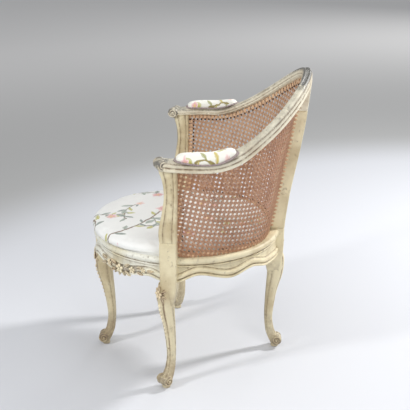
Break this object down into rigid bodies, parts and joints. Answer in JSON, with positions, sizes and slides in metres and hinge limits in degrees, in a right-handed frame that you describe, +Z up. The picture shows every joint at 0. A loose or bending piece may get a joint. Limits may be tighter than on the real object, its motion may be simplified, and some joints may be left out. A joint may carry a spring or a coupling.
{
  "type": "desk armchair",
  "caption": "Round-seated desk armchair with a caned gondola back, scrolled padded arms, a drop-in upholstered seat and cabriole legs set in a diamond.",
  "frame": {"origin": "on the floor, under the middle of the chair's box", "axes": "+Z up, +Y towards the back, +X to the sitter's left"},
  "size_m": [0.6534, 0.6434, 0.886],
  "materials": {
    "painted_wood": "old cream paint on beech, rubbed to grey and brown on edges and in the mouldings",
    "cane": "woven cane, aged tan",
    "chintz": "white printed cotton with a scattered floral sprig",
    "gimp": "woven braid",
    "stuffing": "curled hair and cotton felt",
    "webbing": "jute webbing",
    "base_cloth": "coarse jute cloth",
    "raw_beech": "bare beech",
    "tack_steel": "blued steel"
  },
  "bodies": {
    "frame": {"front_leg": "painted_wood", "back_leg": "painted_wood", "left_leg": "painted_wood", "right_leg": "painted_wood", "front_left_rail": "painted_wood", "front_right_rail": "painted_wood", "back_left_rail": "painted_wood", "back_right_rail": "painted_wood", "left_arm_stump": "painted_wood", "right_arm_stump": "painted_wood", "left_arm_rail": "painted_wood", "right_arm_rail": "painted_wood", "crest_rail": "painted_wood", "back_upright": "painted_wood", "rail_pegs": "raw_beech", "stump_pegs": "raw_beech", "upright_pegs": "raw_beech", "crest_dowels": "raw_beech", "left_cane_panel": "cane", "right_cane_panel": "cane", "left_pad_stuffing": "stuffing", "right_pad_stuffing": "stuffing", "left_pad_cover": "chintz", "right_pad_cover": "chintz", "left_pad_gimp": "gimp", "right_pad_gimp": "gimp"},
    "seat": {"seat_frame_left": "raw_beech", "seat_frame_back": "raw_beech", "seat_frame_right": "raw_beech", "seat_frame_front": "raw_beech", "seat_frame_tongues": "raw_beech", "webbing_lengthways": "webbing", "webbing_crossways": "webbing", "seat_base_cloth": "base_cloth", "seat_stuffing": "stuffing", "seat_cover": "chintz", "seat_tacks": "tack_steel"}
  },
  "joints": [
    {"name": "seat_lift", "type": "slide", "parent": "frame", "child": "seat", "axis": [0, 0, 1], "range_m": [0, 0.35]}
  ]
}
